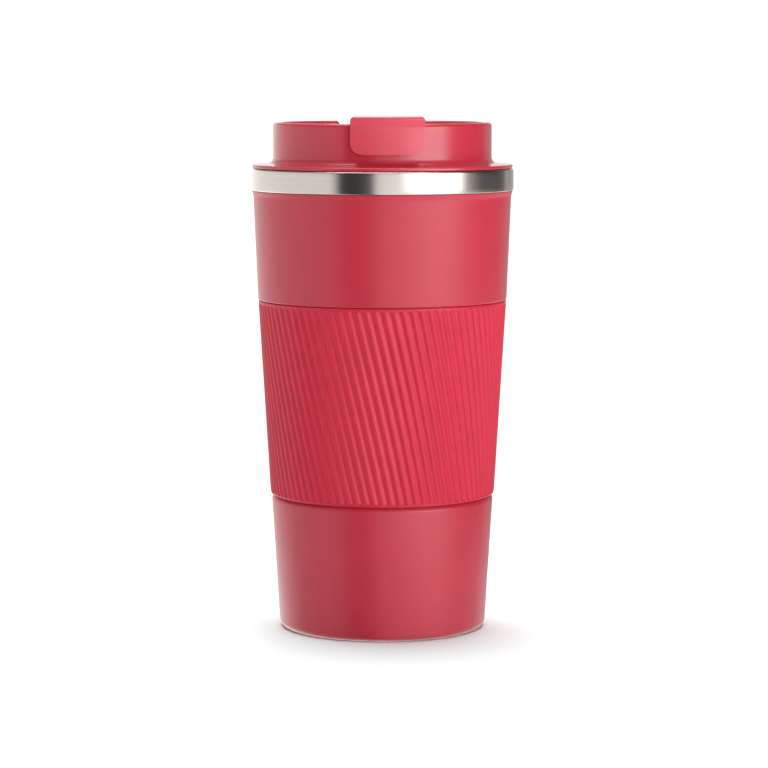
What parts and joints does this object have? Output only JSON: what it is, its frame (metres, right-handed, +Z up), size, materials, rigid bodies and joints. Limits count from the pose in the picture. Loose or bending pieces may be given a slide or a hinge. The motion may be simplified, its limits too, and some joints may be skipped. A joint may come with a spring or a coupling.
{
  "type": "insulated travel mug",
  "caption": "Double-walled tapered steel travel mug with a ribbed grip sleeve and a screw lid whose flip tab opens a drink hole.",
  "frame": {"origin": "centre of the foot, on the plane that the mug stands on", "axes": "+Z up along the mug's axis; -Y is the front, where the tab's tongue hangs; +X is to the right seen from the front"},
  "size_m": [0.089, 0.089, 0.1745],
  "materials": {
    "red_coat": "fine satin powder coat",
    "brushed_band": "brushed round the band",
    "liner_steel": "satin electropolished",
    "plain_steel": "mill finish",
    "base_steel": "satin",
    "seal_bead": "glassy bead",
    "getter_metal": "sintered",
    "red_silicone": "soft matt silicone",
    "pale_silicone": "matt silicone",
    "red_plastic": "fine matt moulding",
    "tab_plastic": "satin moulding",
    "dark_plastic": "satin moulding",
    "pin_steel": "ground"
  },
  "bodies": {
    "cup": {"outer_shell": "red_coat", "mouth_ring": "brushed_band", "inner_liner": "liner_steel", "liner_floor": "liner_steel", "vacuum_bottom": "plain_steel", "vacuum_seal": "seal_bead", "getter": "getter_metal", "getter_clip": "plain_steel", "base_cover": "base_steel", "grip_sleeve": "red_silicone"},
    "gasket": {"lid_gasket": "pale_silicone"},
    "lid": {"lid_cover": "red_plastic", "lid_plug": "dark_plastic", "hinge_pin": "pin_steel"},
    "tab": {"flip_tab": "tab_plastic", "spout_stopper": "pale_silicone", "vent_stopper": "pale_silicone"}
  },
  "joints": [
    {"name": "lid_rise", "type": "slide", "parent": "cup", "child": "gasket", "axis": [0, 0, 1], "range_m": [0, 0.024]},
    {"name": "lid_turn", "type": "hinge", "parent": "gasket", "child": "lid", "pos_m": [0, 0, 0.1565], "axis": [0, 0, 1], "range_deg": [0, 720]},
    {"name": "tab_flip", "type": "hinge", "parent": "lid", "child": "tab", "pos_m": [0, 0, 0.171], "axis": [-1, 0, 0], "range_deg": [0, 180]}
  ],
  "couplings": [
    {"joint": "lid_rise", "follows": "lid_turn", "m_per_rad": 0.0019099}
  ]
}
